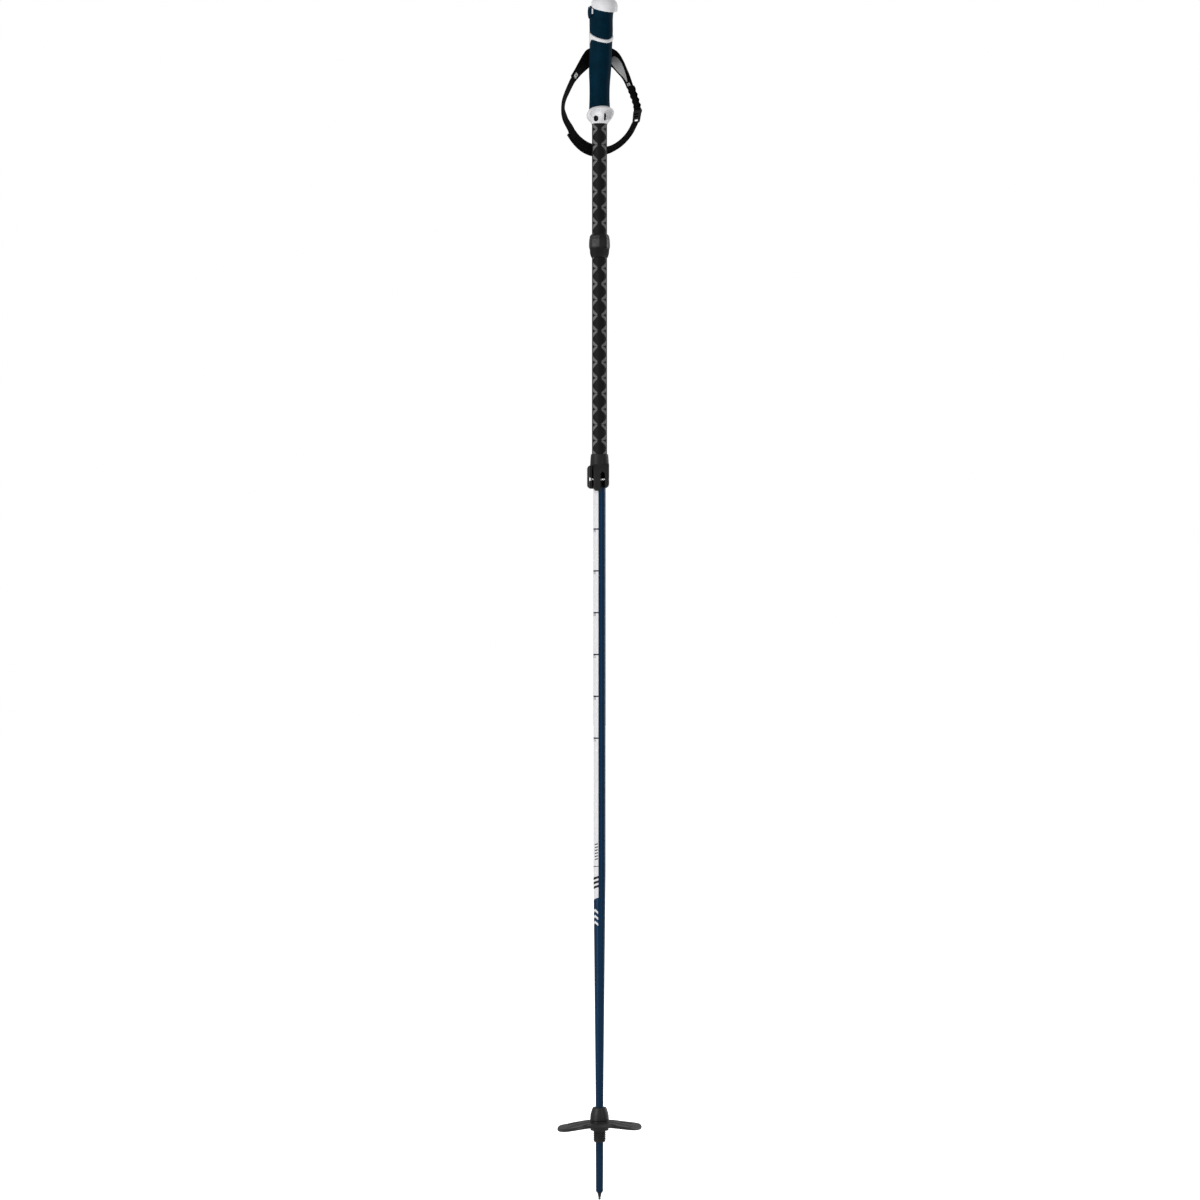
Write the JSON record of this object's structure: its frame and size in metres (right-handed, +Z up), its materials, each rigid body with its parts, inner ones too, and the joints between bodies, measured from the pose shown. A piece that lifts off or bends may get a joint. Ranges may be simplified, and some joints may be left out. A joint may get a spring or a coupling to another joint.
{
  "type": "ski pole",
  "caption": "Telescopic touring ski pole with a rubber grip, webbing hand strap, cam-lever length lock, painted lower shaft and lobed snow basket.",
  "frame": {"origin": "centre of the flat end of the tip, on the shaft's axis", "axes": "+Z up the shaft to the grip; -Y is the grip's front; the strap hangs on the +Y side"},
  "size_m": [0.1111, 0.1016, 1.45],
  "materials": {
    "navy_paint": "gloss navy paint on aluminium, with a white scale stripe",
    "bare_tube": "drawn",
    "black_sleeve": "satin black sleeve embossed with a lattice",
    "navy_rubber": "matte navy rubber",
    "black_rubber": "matte black rubber",
    "white_plastic": "satin white",
    "charcoal_plastic": "fine moulded texture",
    "grey_plastic": "moulded dark grey",
    "steel": "turned",
    "dark_steel": "blackened",
    "carbide": "ground",
    "black_webbing": "woven black webbing",
    "silver_lining": "silver-grey coated fabric",
    "white_print": "plain white tab"
  },
  "bodies": {
    "upper": {"upper_shaft": "bare_tube", "shaft_sleeve_lower": "black_sleeve", "sleeve_collar": "black_rubber", "shaft_sleeve_upper": "black_sleeve", "grip_flange": "white_plastic", "grip_core": "white_plastic", "grip_body_cover": "navy_rubber", "grip_ring": "white_plastic", "grip_head_cover": "navy_rubber", "head_inlay": "white_plastic", "riser_hook": "black_rubber", "grip_cap": "white_plastic", "strap_anchor": "white_plastic", "strap_pin": "steel", "clamp_body": "charcoal_plastic", "lever_barrel": "dark_steel"},
    "slider": {"guide_bush": "grey_plastic"},
    "lower": {"lower_shaft": "navy_paint", "thread_sleeve": "grey_plastic", "tip_holder": "dark_steel", "carbide_tip": "carbide"},
    "basket": {"basket": "grey_plastic"},
    "lever": {"lock_lever": "charcoal_plastic"},
    "screw": {"tension_screw": "steel"},
    "strap": {"strap_hanger": "black_webbing", "strap_yoke": "black_webbing", "yoke_lining": "silver_lining", "badge_left": "white_print", "badge_right": "white_print", "webbing_left": "black_webbing", "wrist_pad": "black_webbing", "webbing_lower": "black_webbing", "ladder_buckle": "charcoal_plastic", "webbing_right": "black_webbing", "webbing_tail": "black_webbing"}
  },
  "joints": [
    {"name": "length_adjust", "type": "slide", "parent": "upper", "child": "slider", "axis": [0, 0, 1], "range_m": [0, 0.3]},
    {"name": "shaft_turn", "type": "hinge", "parent": "slider", "child": "lower", "pos_m": [0, 0, 1], "axis": [0, 0, 1], "continuous": true},
    {"name": "basket_turn", "type": "hinge", "parent": "lower", "child": "basket", "pos_m": [0, 0, 0.09], "axis": [0, 0, 1], "continuous": true},
    {"name": "lever_open", "type": "hinge", "parent": "upper", "child": "lever", "pos_m": [-0.01507, -0.00793, 0.8735], "axis": [0, 0, 1], "range_deg": [0, 150]},
    {"name": "screw_turn", "type": "hinge", "parent": "upper", "child": "screw", "pos_m": [-0.00487, -0.01205, 0.8704], "axis": [0.9272, -0.3746, 0], "continuous": true},
    {"name": "strap_swing", "type": "hinge", "parent": "upper", "child": "strap", "pos_m": [0, 0.015, 1.3985], "axis": [1, 0, 0], "range_deg": [0, 100]}
  ]
}
